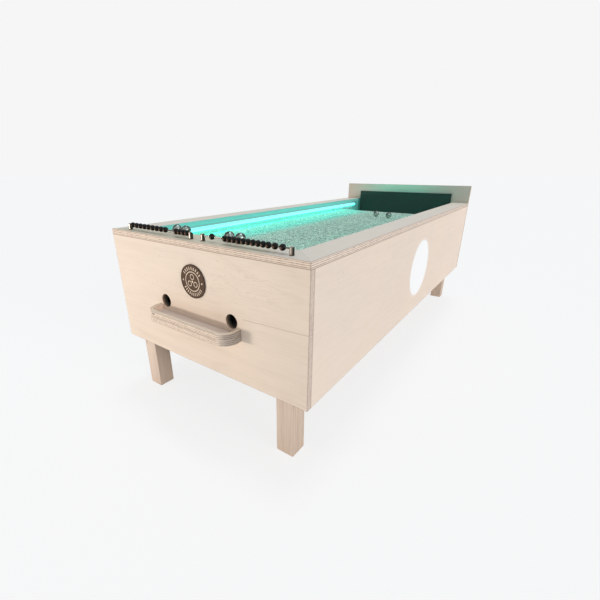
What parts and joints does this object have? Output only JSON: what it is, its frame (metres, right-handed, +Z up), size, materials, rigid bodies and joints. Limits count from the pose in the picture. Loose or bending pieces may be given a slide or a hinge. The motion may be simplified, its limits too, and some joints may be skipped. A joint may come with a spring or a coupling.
{
  "type": "table petanque game",
  "caption": "Long plywood table petanque game on legs: a matted lane between light tubes, a ramp under it that returns the boules to a front tray, and score beads that slide on rods.",
  "frame": {"origin": "middle of the footprint on the floor, below the middle of the bounding box", "axes": "+Y along the lane from the front panel with the tray to the tall end board, +Z up, +X to the player's right"},
  "size_m": [0.8, 1.872, 0.695],
  "materials": {
    "plywood": "light birch plywood, oiled, with layered edges",
    "timber": "planed softwood",
    "steel": "zinc plated",
    "lane_mat": "bonded rubber granules, speckled grey",
    "aluminium": "satin anodised",
    "bumper_rubber": "matt, dark green",
    "engraved_wood": "dark stained and laser engraved",
    "light_board": "white solder mask",
    "opal_plastic": "opal diffuser",
    "black_plastic": "fine texture",
    "wire_cover": "smooth sheath",
    "chrome": "polished",
    "dark_beads": "dark stain with a satin varnish",
    "boule_steel": "polished steel with turned grooves",
    "jack_wood": "painted"
  },
  "bodies": {
    "table": {"front_panel": "plywood", "end_board": "plywood", "side_panel_left": "plywood", "side_panel_right": "plywood", "front_rim": "plywood", "rim_left": "plywood", "rim_right": "plywood", "inner_wall_left": "plywood", "inner_wall_right": "plywood", "lane_board": "plywood", "return_ramp": "plywood", "centre_guide": "plywood", "side_guide_left": "plywood", "side_guide_right": "plywood", "tray_floor": "plywood", "tray_rim": "plywood", "batten_left": "timber", "batten_right": "timber", "leg_front_left": "timber", "leg_front_right": "timber", "leg_rear_left": "timber", "leg_rear_right": "timber", "lane_cleat_left": "timber", "lane_cleat_right": "timber", "ramp_cleat_left": "timber", "ramp_cleat_right": "timber", "leg_bolts": "steel", "side_light_pan": "steel", "lane_mat": "lane_mat", "lane_edge_trim": "aluminium", "light_channel_left": "aluminium", "light_channel_right": "aluminium", "end_bumper": "bumper_rubber", "badge": "engraved_wood", "light_strip_left": "light_board", "light_strip_right": "light_board", "side_light_board": "light_board", "light_tube_left": "opal_plastic", "light_tube_right": "opal_plastic", "side_light_lens": "opal_plastic", "light_end_caps": "black_plastic", "power_supply": "black_plastic", "power_inlet": "black_plastic", "light_wiring": "wire_cover", "score_posts": "chrome", "score_rod_left": "chrome", "score_rod_right": "chrome"},
    "waiting_beads_left": {"waiting_beads_left": "dark_beads"},
    "next_bead_left": {"next_bead_left": "dark_beads"},
    "scored_beads_left": {"scored_beads_left": "dark_beads"},
    "waiting_beads_right": {"waiting_beads_right": "dark_beads"},
    "next_bead_right": {"next_bead_right": "dark_beads"},
    "scored_bead_right": {"scored_bead_right": "dark_beads"},
    "boule_rim_1": {"boule_rim_1": "boule_steel"},
    "boule_rim_2": {"boule_rim_2": "boule_steel"},
    "boule_rim_3": {"boule_rim_3": "boule_steel"},
    "boule_rim_4": {"boule_rim_4": "boule_steel"},
    "boule_mat_1": {"boule_mat_1": "boule_steel"},
    "boule_mat_2": {"boule_mat_2": "boule_steel"},
    "jack": {"jack": "jack_wood"}
  },
  "joints": [
    {"name": "waiting_beads_left_slide", "type": "slide", "parent": "table", "child": "waiting_beads_left", "axis": [1, 0, 0], "range_m": [-0.0018, 0.0053]},
    {"name": "next_bead_left_slide", "type": "slide", "parent": "table", "child": "next_bead_left", "axis": [1, 0, 0], "range_m": [0, 0.0356]},
    {"name": "scored_beads_left_slide", "type": "slide", "parent": "table", "child": "scored_beads_left", "axis": [1, 0, 0], "range_m": [0, 0.0018]},
    {"name": "waiting_beads_right_slide", "type": "slide", "parent": "table", "child": "waiting_beads_right", "axis": [1, 0, 0], "range_m": [0, 0.0127]},
    {"name": "next_bead_right_slide", "type": "slide", "parent": "table", "child": "next_bead_right", "axis": [1, 0, 0], "range_m": [-0.0331, 0]},
    {"name": "scored_bead_right_slide", "type": "slide", "parent": "table", "child": "scored_bead_right", "axis": [1, 0, 0], "range_m": [-0.0235, 0]},
    {"name": "boule_rim_1_lift", "type": "slide", "parent": "table", "child": "boule_rim_1", "axis": [0, 0, 1], "range_m": [0, 0.12]},
    {"name": "boule_rim_2_lift", "type": "slide", "parent": "table", "child": "boule_rim_2", "axis": [0, 0, 1], "range_m": [0, 0.12]},
    {"name": "boule_rim_3_lift", "type": "slide", "parent": "table", "child": "boule_rim_3", "axis": [0, 0, 1], "range_m": [0, 0.12]},
    {"name": "boule_rim_4_lift", "type": "slide", "parent": "table", "child": "boule_rim_4", "axis": [0, 0, 1], "range_m": [0, 0.12]},
    {"name": "boule_mat_1_roll", "type": "slide", "parent": "table", "child": "boule_mat_1", "axis": [0, 1, 0], "range_m": [-1.25, 0.24]},
    {"name": "boule_mat_2_roll", "type": "slide", "parent": "table", "child": "boule_mat_2", "axis": [0, 1, 0], "range_m": [-1.22, 0.27]},
    {"name": "jack_roll", "type": "slide", "parent": "table", "child": "jack", "axis": [0, 1, 0], "range_m": [-1.22, 0.27]}
  ]
}
